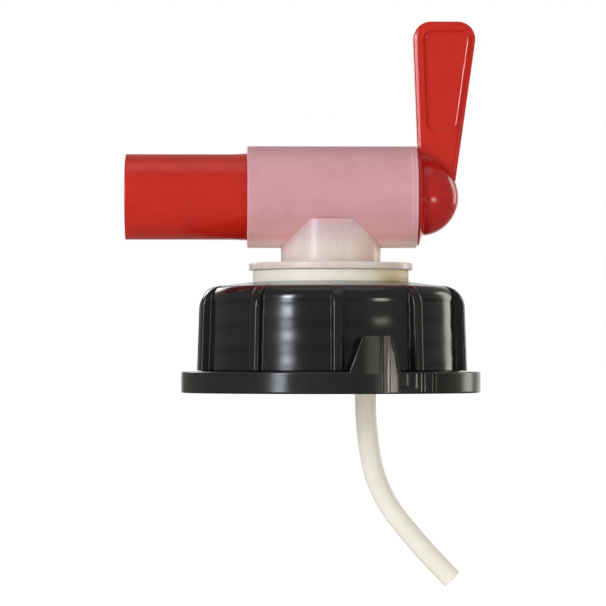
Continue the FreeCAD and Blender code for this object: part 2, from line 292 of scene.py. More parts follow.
def groupWith(name, inputs, outputs):
    # an empty node group, its inputs to read from and its output node
    tree = bpy.data.node_groups.new(name, "ShaderNodeTree")
    for title, kind, value in inputs:
        socket = tree.interface.new_socket(title, in_out="INPUT", socket_type=kind)
        if value is not None:
            socket.default_value = value
    for title, kind in outputs:
        tree.interface.new_socket(title, in_out="OUTPUT", socket_type=kind)
    return tree, tree.nodes.new("NodeGroupInput").outputs, tree.nodes.new("NodeGroupOutput")


def mouldedSkinGroup():
    # The skin of a moulding: slow mottle from the melt's flow, a fine satin grain, and a few pits and specks.
    tree, given, out = groupWith("mouldedSkin", [
        ("Place", "NodeSocketVector", None),
        ("Mottle Scale", "NodeSocketFloat", 120.0),
        ("Grain Scale", "NodeSocketFloat", 2600.0),
        ("Grain Height", "NodeSocketFloat", 0.3),
        ("Flow Height", "NodeSocketFloat", 0.4),
        ("Speck Size", "NodeSocketFloat", 0.1),
    ], [("Mottle", "NodeSocketFloat"), ("Specks", "NodeSocketFloat"), ("Height", "NodeSocketFloat")])
    place = given["Place"]
    mottle = noiseOf(tree, place, given["Mottle Scale"], 3.0, 0.55)
    grain = noiseOf(tree, place, given["Grain Scale"], 2.0, 0.6)
    cells = nodeOf(tree, "ShaderNodeTexVoronoi", {"Vector": place, "Scale": 900.0, "Randomness": 1.0})
    chance = nodeOf(tree, "ShaderNodeSeparateColor", {0: cells.outputs["Color"]}).outputs[0]
    near = mathOf(tree, "LESS_THAN", cells.outputs["Distance"], given["Speck Size"])
    specks = mathOf(tree, "MULTIPLY", near, mathOf(tree, "GREATER_THAN", chance, 0.93))
    grainHeight = mathOf(tree, "MULTIPLY", grain, given["Grain Height"])
    flowHeight = mathOf(tree, "MULTIPLY", mottle, given["Flow Height"])
    height = mathOf(tree, "ADD", grainHeight, flowHeight)
    pitted = mathOf(tree, "SUBTRACT", height, mathOf(tree, "MULTIPLY", specks, 0.15))
    tree.links.new(rangeOf(tree, mottle, 0.3, 0.7), out.inputs["Mottle"])
    tree.links.new(specks, out.inputs["Specks"])
    tree.links.new(pitted, out.inputs["Height"])
    return tree


def handlingGroup():
    # hairline rubs from handling, in two crossing directions, thin and broken up
    tree, given, out = groupWith("handlingRubs", [
        ("Place", "NodeSocketVector", None),
        ("Amount", "NodeSocketFloat", 0.5),
    ], [("Rubs", "NodeSocketFloat")])
    place = given["Place"]
    patch = rangeOf(tree, noiseOf(tree, place, 60.0), 0.45, 0.7)
    one = rangeOf(tree, noiseOf(tree, place, 260.0, 2.0, 0.6, (0.35, 1.0, 9.0)), 0.66, 0.74)
    two = rangeOf(tree, noiseOf(tree, place, 300.0, 2.0, 0.6, (8.0, 1.0, 0.5)), 0.67, 0.75)
    both = mathOf(tree, "MAXIMUM", one, two)
    rubs = mathOf(tree, "MULTIPLY", mathOf(tree, "MULTIPLY", both, patch), given["Amount"])
    tree.links.new(rubs, out.inputs["Rubs"])
    return tree


skinGroup = mouldedSkinGroup()
rubGroup = handlingGroup()


def plasticLook(name, skin, shader, paint=None):
    # One moulded plastic. skin: the two tones, speck tone, scales, roughness range and bump. shader: values
    # that are the same all over. paint(tree, place, colour) may tint the colour by where it is on the piece.
    look = bpy.data.materials.new(name)
    look.use_nodes = True
    tree = look.node_tree
    tree.nodes.clear()
    place = tree.nodes.new("ShaderNodeTexCoord").outputs["Object"]
    surface = nodeOf(tree, "ShaderNodeGroup", node_tree=skinGroup)
    tree.links.new(place, surface.inputs["Place"])
    for key in ("Mottle Scale", "Grain Scale", "Grain Height", "Flow Height", "Speck Size"):
        surface.inputs[key].default_value = skin[key]
    rubs = nodeOf(tree, "ShaderNodeGroup", node_tree=rubGroup)
    tree.links.new(place, rubs.inputs["Place"])
    rubs.inputs["Amount"].default_value = skin["rubs"]
    colour = mixOf(tree, surface.outputs["Mottle"], skin["tone"], skin["otherTone"])
    if paint:
        colour = paint(tree, place, colour)
    speckMask = mathOf(tree, "MULTIPLY", surface.outputs["Specks"], skin["speckShare"])
    colour = mixOf(tree, speckMask, colour, skin["speckTone"])
    rough = rangeOf(tree, surface.outputs["Mottle"], 0.0, 1.0, *skin["roughness"])
    rough = mathOf(tree, "ADD", rough, mathOf(tree, "MULTIPLY", rubs.outputs["Rubs"], 0.2))
    bump = nodeOf(tree, "ShaderNodeBump", {
        "Height": surface.outputs["Height"], "Strength": skin["bump"], "Distance": 0.0001,
    })
    principled = nodeOf(tree, "ShaderNodeBsdfPrincipled", {
        "Base Color": colour, "Roughness": rough, "Normal": bump.outputs["Normal"], **shader,
    })
    output = tree.nodes.new("ShaderNodeOutputMaterial")
    tree.links.new(principled.outputs[0], output.inputs["Surface"])
    look.diffuse_color = skin["tone"]
    return look


plasticSkin = {
    "Mottle Scale": 120.0, "Grain Scale": 2600.0, "Grain Height": 0.3, "Flow Height": 0.4, "Speck Size": 0.1,
    "speckShare": 0.5, "bump": 0.12, "rubs": 0.4,
}

# In a paint a tone fades in between two places or distances in metres, the first one where the fade starts.
# painted shade on the thick dome, which light doesn't shine through
domeShadePaint = {
    "middle": (0.0237, 0.0, 0.0299), "rim": (0.0106, 0.0128), "leftSide": (0.0222, 0.0232),
    "tone": screenColour(178, 27, 24),
}


def domePaintedShade(tree, place, colour):
    # painted shade: the dome is thick and passes no light, so it is painted deeper in colour than the thin
    # lever and the spout, which light shines through
    away = nodeOf(tree, "ShaderNodeVectorMath", {0: place, 1: domeShadePaint["middle"]}, operation="DISTANCE")
    inside = rangeOf(tree, away.outputs["Value"], *domeShadePaint["rim"], 1.0, 0.0)
    right = rangeOf(tree, axisOf(tree, place, 0), *domeShadePaint["leftSide"])
    return mixOf(tree, mathOf(tree, "MULTIPLY", inside, right), colour, domeShadePaint["tone"])


barrelPaint = {
    # the lines as (x, half width)
    "lines": [(0.0214, 0.00035), (0.0224, 0.00025)], "lineShare": 0.6,
    "lineTone": screenColour(226, 178, 184),
    # painted light from below: paler tones low on the barrel, fading in from the first height to the second
    "paintedLightLow": (0.0245, 0.0185), "paintedLightLowTone": screenColour(226, 168, 165),
    "paintedLightBottom": (0.0192, 0.0165), "paintedLightBottomTone": screenColour(255, 231, 225),
}


def barrelLinesAndPaintedLight(tree, place, colour):
    # Painted light: the lower part of the barrel's wall is painted paler, most of all at the bottom, standing
    # in for light from below that shines through the wall. The snap groove shows through the wall near the
    # lever as two pale lines.
    along, up = axisOf(tree, place, 0), axisOf(tree, place, 2)
    for line, half in barrelPaint["lines"]:
        away = mathOf(tree, "ABSOLUTE", mathOf(tree, "SUBTRACT", along, line))
        near = rangeOf(tree, away, 0.5 * half, half, barrelPaint["lineShare"], 0.0)
        colour = mixOf(tree, near, colour, barrelPaint["lineTone"])
    colour = mixOf(tree, rangeOf(tree, up, *barrelPaint["paintedLightLow"]), colour, barrelPaint["paintedLightLowTone"])
    return mixOf(tree, rangeOf(tree, up, *barrelPaint["paintedLightBottom"]), colour, barrelPaint["paintedLightBottomTone"])


neckPaint = {
    "foot": (0.0122, 0.0128), "upper": (0.014, 0.0225), "upperTone": screenColour(200, 177, 180),
    # the barrel's radius squared less the neck's, the neck's flat top, and the tone's reach under the join
    "squaresApart": 6.7e-6, "shelf": 0.0238, "join": (0.0028, -0.0004),
    "joinTone": screenColour(208, 165, 168),
    "pipeAt": 0.0096, "pipe": (0.0008, 0.0046), "pipeShare": 0.75, "pipeTone": screenColour(226, 205, 190),
}


def neckTones(tree, place, colour):
    # The neck turns pinker towards the barrel, whose outline it meets at z = axis - sqrt(x squared + how far
    # the two radii squared lie apart), and the vent pipe shows through its wall as a yellower band.
    across, up = axisOf(tree, place, 0), axisOf(tree, place, 2)
    colour = mixOf(tree, rangeOf(tree, up, *neckPaint["upper"]), colour, neckPaint["upperTone"])
    squared = mathOf(tree, "ADD", mathOf(tree, "MULTIPLY", across, across), neckPaint["squaresApart"])
    join = mathOf(tree, "SUBTRACT", barrelAxis * mm, mathOf(tree, "SQRT", squared))
    under = mathOf(tree, "SUBTRACT", mathOf(tree, "MINIMUM", join, neckPaint["shelf"]), up)
    neck = rangeOf(tree, up, *neckPaint["foot"])
    nearJoin = mathOf(tree, "MULTIPLY", rangeOf(tree, under, *neckPaint["join"]), neck)
    colour = mixOf(tree, nearJoin, colour, neckPaint["joinTone"])
    fromPipe = mathOf(tree, "ABSOLUTE", mathOf(tree, "SUBTRACT", across, neckPaint["pipeAt"]))
    band = rangeOf(tree, fromPipe, *neckPaint["pipe"], neckPaint["pipeShare"], 0.0)
    return mixOf(tree, mathOf(tree, "MULTIPLY", band, neck), colour, neckPaint["pipeTone"])


ringPaint = {
    "right": (0.004, 0.0195), "rightTone": screenColour(250, 233, 188),
    # painted shade low on the ring's far right, near the cap
    "farRight": (0.0105, 0.0155), "low": (0.0096, 0.0066), "paintedShadeTone": screenColour(204, 180, 132),
}


def ringRightTintAndPaintedShade(tree, place, colour):
    # the ring is yellower on its right side, and low down on its far right it is painted darker: painted
    # shade near the cap
    across, up = axisOf(tree, place, 0), axisOf(tree, place, 2)
    colour = mixOf(tree, rangeOf(tree, across, *ringPaint["right"]), colour, ringPaint["rightTone"])
    farRight, low = rangeOf(tree, across, *ringPaint["farRight"]), rangeOf(tree, up, *ringPaint["low"])
    return mixOf(tree, mathOf(tree, "MULTIPLY", farRight, low), colour, ringPaint["paintedShadeTone"])


tabPaint = {
    # painted light on the thin plate towards its rib
    "hazeLeft": (0.0065, 0.0095), "hazeRight": (0.0112, 0.0109), "hazeTone": (0.05, 0.048, 0.038, 1.0),
    # painted highlight on the bar beside the rib
    "barLeft": (0.0123, 0.0125), "barRight": (0.0141, 0.0139), "barTone": (0.085, 0.074, 0.058, 1.0),
}


def tabPaintedLight(tree, place, colour):
    # Painted light: the tab's thin plate is painted lighter and browner towards its rib, and the bar beside
    # the rib is painted browner still, a painted highlight.
    across = axisOf(tree, place, 0)
    for part in ("haze", "bar"):
        left, right = (rangeOf(tree, across, *tabPaint[part + side]) for side in ("Left", "Right"))
        colour = mixOf(tree, mathOf(tree, "MULTIPLY", left, right), colour, tabPaint[part + "Tone"])
    return colour


# painted light on the tube's upper end, under the cap
tubeLightPaint = {"upper": (-0.045, -0.02), "tone": screenColour(255, 242, 220)}


def tubeTopPaintedLight(tree, place, colour):
    # painted light: the tube is painted lighter and a little yellower where it comes out of the cap, in the
    # cap's shade
    return mixOf(tree, rangeOf(tree, axisOf(tree, place, 2), *tubeLightPaint["upper"]), colour, tubeLightPaint["tone"])


def translucent(weight, radius, scale):
    # light that soaks in: its share, how far red, green and blue go beside each other, and that reach in m
    return {"Subsurface Weight": weight, "Subsurface Radius": radius, "Subsurface Scale": scale}


# the red plastic, with painted shade on its dome
redLook = plasticLook("redPlastic", {
    **plasticSkin, "tone": screenColour(193, 38, 24), "otherTone": screenColour(188, 33, 21),
    "speckTone": screenColour(120, 30, 26), "roughness": (0.13, 0.19),
}, translucent(0.12, (1.0, 0.25, 0.15), 0.0015), domePaintedShade)
# the barrel's plastic, with painted light low on it
pinkLook = plasticLook("barrelPlastic", {
    **plasticSkin, "tone": screenColour(208, 156, 160), "otherTone": screenColour(203, 149, 154),
    "speckTone": screenColour(190, 120, 120), "roughness": (0.36, 0.46),
}, translucent(0.3, (1.0, 0.6, 0.5), 0.002), barrelLinesAndPaintedLight)
neckLook = plasticLook("neckPlastic", {
    **plasticSkin, "tone": screenColour(226, 214, 205), "otherTone": screenColour(221, 207, 197),
    "speckTone": screenColour(190, 160, 150), "roughness": (0.24, 0.32),
}, translucent(0.3, (1.0, 0.8, 0.7), 0.002), neckTones)
# the cream plastic, yellower on the right and with painted shade low on its far right
creamLook = plasticLook("creamPlastic", {
    **plasticSkin, "tone": screenColour(254, 249, 234), "otherTone": screenColour(252, 246, 229),
    "speckTone": screenColour(190, 175, 140), "roughness": (0.45, 0.55),
}, translucent(0.15, (1.0, 0.8, 0.5), 0.0015), ringRightTintAndPaintedShade)
gasketLook = plasticLook("gasketRubber", {
    **plasticSkin, "tone": screenColour(214, 208, 196), "otherTone": screenColour(204, 198, 186),
    "speckTone": screenColour(150, 144, 130), "roughness": (0.7, 0.85), "bump": 0.25,
}, {})
# the tube's plastic, with painted light on its upper end
tubeLook = plasticLook("tubePlastic", {
    **plasticSkin, "tone": screenColour(247, 240, 224), "otherTone": screenColour(242, 235, 217),
    "speckTone": screenColour(200, 190, 170), "roughness": (0.32, 0.42),
}, translucent(0.35, (1.0, 0.9, 0.7), 0.002), tubeTopPaintedLight)
blackLook = plasticLook("blackPlastic", {
    **plasticSkin, "tone": (0.0085, 0.0082, 0.0072, 1.0), "otherTone": (0.011, 0.0105, 0.0092, 1.0),
    "speckTone": (0.06, 0.058, 0.05, 1.0), "roughness": (0.14, 0.2), "bump": 0.1, "Mottle Scale": 70.0,
}, {})
bandSkin = {
    **plasticSkin, "tone": (0.0105, 0.01, 0.009, 1.0), "otherTone": (0.014, 0.0132, 0.0118, 1.0),
    "speckTone": (0.07, 0.066, 0.058, 1.0), "roughness": (0.17, 0.23), "bump": 0.14, "Mottle Scale": 70.0,
}
bandLook = plasticLook("bandPlastic", bandSkin, {})
# the tab's plastic, with painted light on its plate and a painted highlight on its bar
tabLook = plasticLook("tabPlastic", bandSkin, {}, tabPaintedLight)
print("materials made")

view = {
    "lens": 208.6, "place": (-30.1, -938.0, -13.7), "target": (-7.42, 0.0, 1.6), "near": 0.01, "far": 50.0,
}
studio = {
    # The room is dark on the camera's side and white behind the object, which is what glossy faces show.
    # Light on the object comes mostly from the front. An edge is the pair of values between which one tone
    # fades into the other: of a direction's y, or of its dot product with the backdrop's middle.
    "white": (1.0, 1.0, 1.0, 1.0), "darkSide": (0.29, 0.28, 0.26, 1.0),
    "fillBehind": (0.36, 0.355, 0.35, 1.0), "fillFront": (0.74, 0.73, 0.71, 1.0), "frontEdge": (0.1, -1.0),
    "backdropMiddle": (0.14, 0.99, 0.0), "backdropEdge": (0.87, 0.95), "lampTarget": (0, 0, 10),
}
# the floor's diffuse glow is a painted glow that lights the object from below
floor = {"height": -78.5, "reach": 60000.0, "tone": (0.86, 0.86, 0.85, 1.0), "glow": 0.66, "diffuseGlow": 0.26}
lamps = [
    # name, place, width and height, radiance, colour
    ("keyLeft", (-676, -786, 290), (165, 450), 14.6, (0.84, 0.89, 1.0)),
    ("keyLow", (-676, -786, -34), (165, 76), 16.0, (0.84, 0.89, 1.0)),
    ("keyCore", (-670, -780, 250), (115, 115), 28.0, (0.9, 0.93, 1.0)),
    ("smallRight", (352, -384, -46), (110, 64), 11.0, (1.0, 0.95, 0.88)),
    ("stripBackRight", (818, 605, 160), (300, 700), 3.0, (1.0, 0.97, 0.9)),
    ("shoulderLeft", (-430, 850, 420), (360, 240), 5.0, (1.0, 0.98, 0.96)),
    ("top", (0, -60, 900), (900, 500), 0.5, (1.0, 0.99, 0.97)),
]


def aimed(thing, place, target):
    thing.location = Vector(place) * mm
    thing.rotation_mode = "QUATERNION"
    thing.rotation_quaternion = (Vector(target) - Vector(place)).to_track_quat("-Z", "Y")
    bpy.context.scene.collection.objects.link(thing)


def makeCamera():
    data = bpy.data.cameras.new("camera")
    data.lens = view["lens"]
    data.clip_start, data.clip_end = view["near"], view["far"]
    camera = bpy.data.objects.new("camera", data)
    aimed(camera, view["place"], view["target"])
    bpy.context.scene.camera = camera


def makeLamp(name, place, size, radiance, colour):
    # a soft rectangular lamp, whose power is radiance * area * pi
    data = bpy.data.lights.new(name, "AREA")
    data.shape = "RECTANGLE"
    data.size, data.size_y = size[0] * mm, size[1] * mm
    data.energy = radiance * data.size * data.size_y * math.pi
    data.color = colour
    aimed(bpy.data.objects.new(name, data), place, studio["lampTarget"])


def backdropMask(tree, direction):
    # 1 towards the white backdrop and 0 elsewhere
    towards = nodeOf(tree, "ShaderNodeVectorMath", {
        0: direction, 1: studio["backdropMiddle"],
    }, operation="DOT_PRODUCT")
    return rangeOf(tree, towards.outputs["Value"], *studio["backdropEdge"])


def seenDirectly(tree, path):
    # 1 for what the camera sees, straight or through a clear face
    return mathOf(tree, "MAXIMUM", path["Is Camera Ray"], path["Is Transmission Ray"])


def makeSky():
    # White where it is seen directly. Glossy faces show the dark side and the backdrop, and the fill lights
    # the rest.
    world = bpy.data.worlds.new("studio")
    bpy.context.scene.world = world
    world.use_nodes = True
    tree = world.node_tree
    tree.nodes.clear()
    path = tree.nodes.new("ShaderNodeLightPath").outputs
    direction = tree.nodes.new("ShaderNodeTexCoord").outputs["Generated"]
    frontal = rangeOf(tree, axisOf(tree, direction, 1), *studio["frontEdge"])
    fill, gloss, white = (nodeOf(tree, "ShaderNodeBackground", {"Color": tone}).outputs[0] for tone in (
        mixOf(tree, frontal, studio["fillBehind"], studio["fillFront"]),
        mixOf(tree, backdropMask(tree, direction), studio["darkSide"], studio["white"]),
        studio["white"],
    ))
    lit = nodeOf(tree, "ShaderNodeMixShader", {0: path["Is Glossy Ray"], 1: fill, 2: gloss}).outputs[0]
    sky = nodeOf(tree, "ShaderNodeMixShader", {0: seenDirectly(tree, path), 1: lit, 2: white}).outputs[0]
    tree.links.new(sky, tree.nodes.new("ShaderNodeOutputWorld").inputs["Surface"])


def floorLook():
    # A matt floor that keeps the shadow and glows up to the backdrop's white where it is seen. Glossy faces
    # see it dark, save towards the backdrop. It also glows for diffuse rays: a painted glow that lights the
    # object from below like a lamp.
    look = bpy.data.materials.new("paleFloor")
    look.use_nodes = True
    tree = look.node_tree
    tree.nodes.clear()
    path = tree.nodes.new("ShaderNodeLightPath").outputs
    place = tree.nodes.new("ShaderNodeTexCoord").outputs["Object"]
    direction = nodeOf(tree, "ShaderNodeVectorMath", {0: place}, operation="NORMALIZE").outputs[0]
    behind = backdropMask(tree, direction)
    dark = mathOf(tree, "MULTIPLY", path["Is Glossy Ray"], mathOf(tree, "SUBTRACT", 1.0, behind))
    tone = mixOf(tree, dark, floor["tone"], studio["darkSide"])
    matt = nodeOf(tree, "ShaderNodeBsdfDiffuse", {"Color": tone}).outputs[0]
    mirrored = mathOf(tree, "MULTIPLY", path["Is Glossy Ray"], behind)
    seen = mathOf(tree, "MAXIMUM", mirrored, seenDirectly(tree, path))
    # painted glow: the floor's own glow for diffuse rays, which lights the object
    diffuseGlow = mathOf(tree, "MULTIPLY", path["Is Diffuse Ray"], floor["diffuseGlow"])
    strength = mathOf(tree, "ADD", mathOf(tree, "MULTIPLY", seen, floor["glow"]), diffuseGlow)
    glow = nodeOf(tree, "ShaderNodeEmission", {"Strength": strength}).outputs[0]
    both = nodeOf(tree, "ShaderNodeAddShader", {0: matt, 1: glow}).outputs[0]
    tree.links.new(both, tree.nodes.new("ShaderNodeOutputMaterial").inputs["Surface"])
    return look


def makeFloor():
    reach, height = floor["reach"] * mm, floor["height"] * mm
    corners = [(x * reach, y * reach, height) for x, y in ((-1, -1), (1, -1), (1, 1), (-1, 1))]
    mesh = bpy.data.meshes.new("floor")
    mesh.from_pydata(corners, [], [(0, 1, 2, 3)])
    mesh.materials.append(floorLook())
    floorPiece = bpy.data.objects.new("floor", mesh)
    bpy.context.scene.collection.objects.link(floorPiece)


makeCamera()
for lamp in lamps:
    makeLamp(*lamp)
makeSky()
makeFloor()
print("camera, floor and lamps set")

tube = {
    "route": [(9.4, 2.0), (9.32, -15.5), (9.25, -31.4), (12.1, -47.9), (21.8, -61.3), (32.4, -72.2)],
    "outer": 2.8, "inner": 1.8, "lip": 0.2, "length": 0.0816, "resolution": 16,
}


def splinePoints(name, route, resolution):
    # points read from one smooth NURBS line through the route, (x, z) in the plane y = 0
    curve = bpy.data.curves.new(name, "CURVE")
    curve.dimensions = "3D"
    spline = curve.splines.new("NURBS")
    spline.points.add(len(route) - 1)
    spline.points.foreach_set("co", np.array([(x * mm, 0, z * mm, 1) for x, z in route]).ravel())
    spline.order_u = 3
    spline.use_endpoint_u = True
    spline.resolution_u = resolution
    line = bpy.data.objects.new(name, curve)
    bpy.context.scene.collection.objects.link(line)
    read = bpy.data.meshes.new_from_object(line)
    points = np.zeros(len(read.vertices) * 3)
    read.vertices.foreach_get("co", points)
    bpy.data.objects.remove(line)
    return points.reshape(-1, 3)


tubeLine = splinePoints("tubeLine", tube["route"], tube["resolution"])


def tubeShell(line, outer, inner, lip, steps=40):
    # The wall's outline runs out along the outside, round the end's lip and back along the bore. Each of its
    # points is (place along the line, radius, step past the place), and is turned about the line:
    # point = line + tangent * step + radius * (cos(angle) * side + sin(angle) * other).
    tangent = unit(np.gradient(line, axis=0))
    side = np.array([0.0, 1.0, 0.0])
    other = np.cross(tangent, side)
    last = len(line) - 1
    along = np.concatenate([[0, 0], np.arange(1, last), [last] * 4, np.arange(last - 1, 0, -1), [0, 0]])
    runs = last - 1
    radius = np.concatenate([
        [outer - lip, outer], np.full(runs, outer), [outer, outer - lip, inner + lip, inner],
        np.full(runs, inner), [inner, inner + lip],
    ])
    step = np.concatenate([[0, lip], np.zeros(runs), [-lip, 0, 0, -lip], np.zeros(runs), [lip, 0]])
    angle = np.linspace(0, fullTurn, steps, endpoint=False)[:, None, None]
    middle = line[along] + tangent[along] * step[:, None]
    return middle + radius[:, None] * (np.cos(angle) * side + np.sin(angle) * other[along])


ventTube = makePiece(
    "ventTube", [closedShell(tubeShell(tubeLine / mm, tube["outer"], tube["inner"], tube["lip"]))],
    "tap_body", "tube_plastic", tubeLook, ["vent_tube"],
)
print("vent tube made")

cap = {
    "bottom": -16.5, "top": 7.2, "crownLow": 5.5, "underside": 3.75, "holeRadius": 21.1,
    "topRadius": 34.2, "bottomRadius": 34.9, "shoulder": 3.6, "threadRoot": 30.75,
    "ribs": 10, "ribStart": 1.0, "ribWidth": 2.9, "ribTop": 36.4, "ribBottom": 37.2, "ribShoulder": 6.0,
    "ribEdge": 0.85, "ribFoot": 0.3, "ribLean": 0.05, "ribCrown": 5.85, "ribFade": 30.0,
    "sinkPitch": 6.3, "sinkDepth": 0.085, "sinkStart": 0.85,
    # points on each round edge, rows up the wall, and degrees between the columns
    "steps": 9, "wallRows": 36, "spacing": 3.0,
}
ribHeight = cap["ribBottom"] - cap["bottomRadius"]


def ribSection():
    # across one rib: (mm from its middle, share of its height), with round edges and a small fillet
    wide, lean = cap["ribWidth"] / 2, cap["ribLean"]
    outline = openOutline([
        (-2 * wide, 0.0), (-wide - lean, 0.0, cap["ribFoot"]), (-wide + lean, ribHeight, cap["ribEdge"]),
        (wide - lean, ribHeight, cap["ribEdge"]), (wide + lean, 0.0, cap["ribFoot"]), (2 * wide, 0.0),
    ], 5, 0.1)
    outline[:, 1] = np.clip(outline[:, 1] / ribHeight, 0, 1)
    return outline


def capOutlines():
    # The same corners for the plain wall and for the wall at a rib, as (radius, z, rounding). The ribs fade
    # into the crown's cone at the fade radius.
    hole, root, low = cap["holeRadius"], cap["threadRoot"], cap["bottom"]
    slope = (cap["top"] - cap["crownLow"]) / (cap["topRadius"] - hole)
    fadeHeight = cap["crownLow"] + (cap["topRadius"] - cap["ribFade"]) * slope
    inside = [
        (cap["ribFade"], fadeHeight), (hole, cap["top"], 0.4), (hole, cap["underside"], 0.1),
        (root, cap["underside"], 1.5), (root, low, 0.5),
    ]
    plain = [(cap["bottomRadius"], low, 0.25), (cap["topRadius"], cap["crownLow"], cap["shoulder"])]
    rib = [(cap["ribBottom"], low, 0.25), (cap["ribTop"], cap["ribCrown"], cap["ribShoulder"])]
    return [
        withRows(roundedOutline(corners + inside, cap["steps"]), 1, cap["steps"], cap["wallRows"])
        for corners in (plain, rib)
    ]


ribAngles = cap["ribStart"] + 360 / cap["ribs"] * np.arange(cap["ribs"])
plainWall, ribWall = capOutlines()
capColumns = featureColumns(ribAngles, ribSection(), cap["spacing"])
capGrid, capAngle = featuredTurn(plainWall, ribWall, capColumns)
ribShare = capColumns[2][:, None]
wallStart = cap["steps"] + 2
onWall = np.zeros(len(plainWall))
onWall[wallStart:wallStart + cap["wallRows"]] = 1.0
# Shallow sinks run round the wall outside the thread's turns: radius less depth * cos squared of the height's
# phase, which climbs one pitch each turn, and none on the ribs.
climb = cap["sinkStart"] + cap["sinkPitch"] * capAngle / fullTurn
phase = (capGrid[..., 2] - climb) / cap["sinkPitch"] * math.pi
sink = cap["sinkDepth"] * np.cos(phase) ** 2 * onWall * (1 - ribShare)
outwards = np.stack([np.sin(capAngle), -np.cos(capAngle), 0 * capAngle], -1)
capGrid -= outwards * sink[..., None]
makePiece("screwCap", [closedShell(capGrid)], "cap", "black_plastic", blackLook, ["screw_cap"])

thread = {
    "root": 30.95, "crest": 29.35, "pitch": 6.0, "turns": 1.6, "start": -14.2, "fade": 16.0,
    "rootWidth": 3.4, "crestWidth": 1.4, "edge": 0.25, "endWidth": 0.35, "rowsPerTurn": 120,
}


def threadShell():
    # A trapezium carried up a helix: z = start + pitch * angle / 360. Its height fades in and out at the
    # ends by the sine of the share of the fade, and its width from the end's share up to the whole.
    turn = np.linspace(0, thread["turns"] * fullTurn, int(thread["turns"] * thread["rowsPerTurn"]))
    fade = math.radians(thread["fade"])
    rise = np.clip(np.minimum(turn, turn[-1] - turn) / fade, 0, 1)
    rise = np.sin(rise * math.pi / 2)[:, None]
    foot, crest, edge = thread["rootWidth"] / 2, thread["crestWidth"] / 2, thread["edge"]
    section = roundedOutline([(0, -foot), (0, foot), (1, crest, edge), (1, -crest, edge)], 4, 0.05)
    radius = thread["root"] - (thread["root"] - thread["crest"]) * rise * section[:, 0]
    width = thread["endWidth"] + (1 - thread["endWidth"]) * rise
    height = thread["start"] + thread["pitch"] * turn[:, None] / fullTurn + section[:, 1] * width
    around = turn[:, None] + 0 * radius
    return cappedShell(np.stack([radius * np.sin(around), -radius * np.cos(around), height], -1))


makePiece("capThread", [threadShell()], "cap", "black_plastic", blackLook)
print("screw cap made")

band = {
    "radius": 40.0, "top": -16.7, "height": 5.7, "wall": 1.5, "web": 1.2, "edge": 0.45, "inner": 31.6,
    "innerWall": 1.4, "sill": 0.7, "grooves": (35.0, 40.3), "notchAt": 28.6,
    # width, depth and height of a bridge, how far it goes into the cap and the band, and its edge
    "bridge": (1.6, 1.2, 0.2), "bridgeSunk": 0.1, "bridgeEdge": 0.05,
    "lugReach": 0.7, "lugHeight": 2.0, "lugWidth": 5.0, "lugStart": 0.6, "lugSunk": 0.3, "lugTip": 0.02,
    # the ridge under the cap: its height, how far from the inner ring's two sides it ends, and its slope
    "ridge": 0.17, "ridgeIn": 0.3, "ridgeOut": 1.7, "ridgeSlope": 0.1,
    # depths of a groove and of the notch at mm across from its middle
    "groove": [(-0.8, 0.0), (-0.65, -0.06), (-0.5, -0.1), (-0.36, -0.05), (-0.27, 0.1), (-0.15, 0.4),
               (0.15, 0.4), (0.27, 0.1), (0.36, -0.05), (0.5, -0.1), (0.65, -0.06), (0.8, 0.0)],
    "notch": [(-2.6, 0.0), (-2.38, 0.03), (-2.3, 1.0), (0.0, 1.0), (1.2, 0.5), (2.35, 0.0), (2.6, 0.0)],
    # points on each round edge, rows up the rim, the first plain column's angle and degrees between them
    "steps": 5, "rimRows": 12, "firstColumn": 0.7, "spacing": 2.5,
}
bandLow = band["top"] - band["height"]


def bandProfile():
    # (radius, z, rounding) from the inner ring's bore, out under the web, up the rim and back over the ridge
    inner, outer, top = band["inner"], band["radius"], band["top"]
    innerOut, rimIn, web = inner + band["innerWall"], outer - band["wall"], top - band["web"]
    ridgeTop, slope = top + band["ridge"], band["ridgeSlope"]
    ridgeIn, ridgeOut = inner + band["ridgeIn"], innerOut + band["ridgeOut"]
    corners = [
        (inner, bandLow, 0.2), (innerOut, bandLow, 0.2), (innerOut, web, 0.25), (rimIn, web, 0.25),
        (rimIn, bandLow, 0.2), (outer, bandLow, band["edge"]), (outer, top, band["edge"]), (ridgeOut, top),
        (ridgeOut - slope, ridgeTop), (ridgeIn + slope, ridgeTop), (ridgeIn, top), (inner, top, 0.25),
    ]
    rimCorner = corners.index((outer, bandLow, band["edge"])) + 1
    return withRows(roundedOutline(corners, band["steps"], 0.08), rimCorner, band["steps"], band["rimRows"])


def bandShell():
    # The profile turned about the cap's axis. The rim's outer face lies deeper by the groove's depth, and at
    # the notch by the smaller of the notch's depth there and the height over its sill.
    profile = bandProfile()
    radius, height = profile[:, 0], profile[:, 1]
    onRim = radius > band["radius"] - band["edge"] - 0.1
    perMm = 180 / (math.pi * band["radius"])
    notch = np.array(band["notch"]) * (perMm, 1) + (band["notchAt"], 0)
    grooves = [np.array(band["groove"]) * (perMm, 1) + (angle, 0) for angle in band["grooves"]]
    plain = np.arange(band["firstColumn"], 360, band["spacing"])
    degrees = np.unique(np.concatenate([plain] + [mark[:, 0] for mark in (*grooves, notch)]))
    depth = sum(np.interp(degrees, mark[:, 0], mark[:, 1]) for mark in grooves)[:, None]
    cutIn = np.interp(degrees, notch[:, 0], notch[:, 1])[:, None]
    depth = depth + np.minimum(cutIn, np.maximum(height - bandLow - band["sill"], 0))
    radius = radius - depth * onRim
    angle = np.radians(degrees)[:, None]
    return closedShell(np.stack([radius * np.sin(angle), -radius * np.cos(angle), height + 0 * radius], -1))


def atFront(u, v, w):
    # u across, v up, w out from the axis, for what stands at the front before it is swung round
    return np.stack([u, -w, v], -1)


def acrossFront(u, v, w):
    # u out from the axis, v up, w across, for a section that is carried across the front
    return np.stack([w, -u, v], -1)


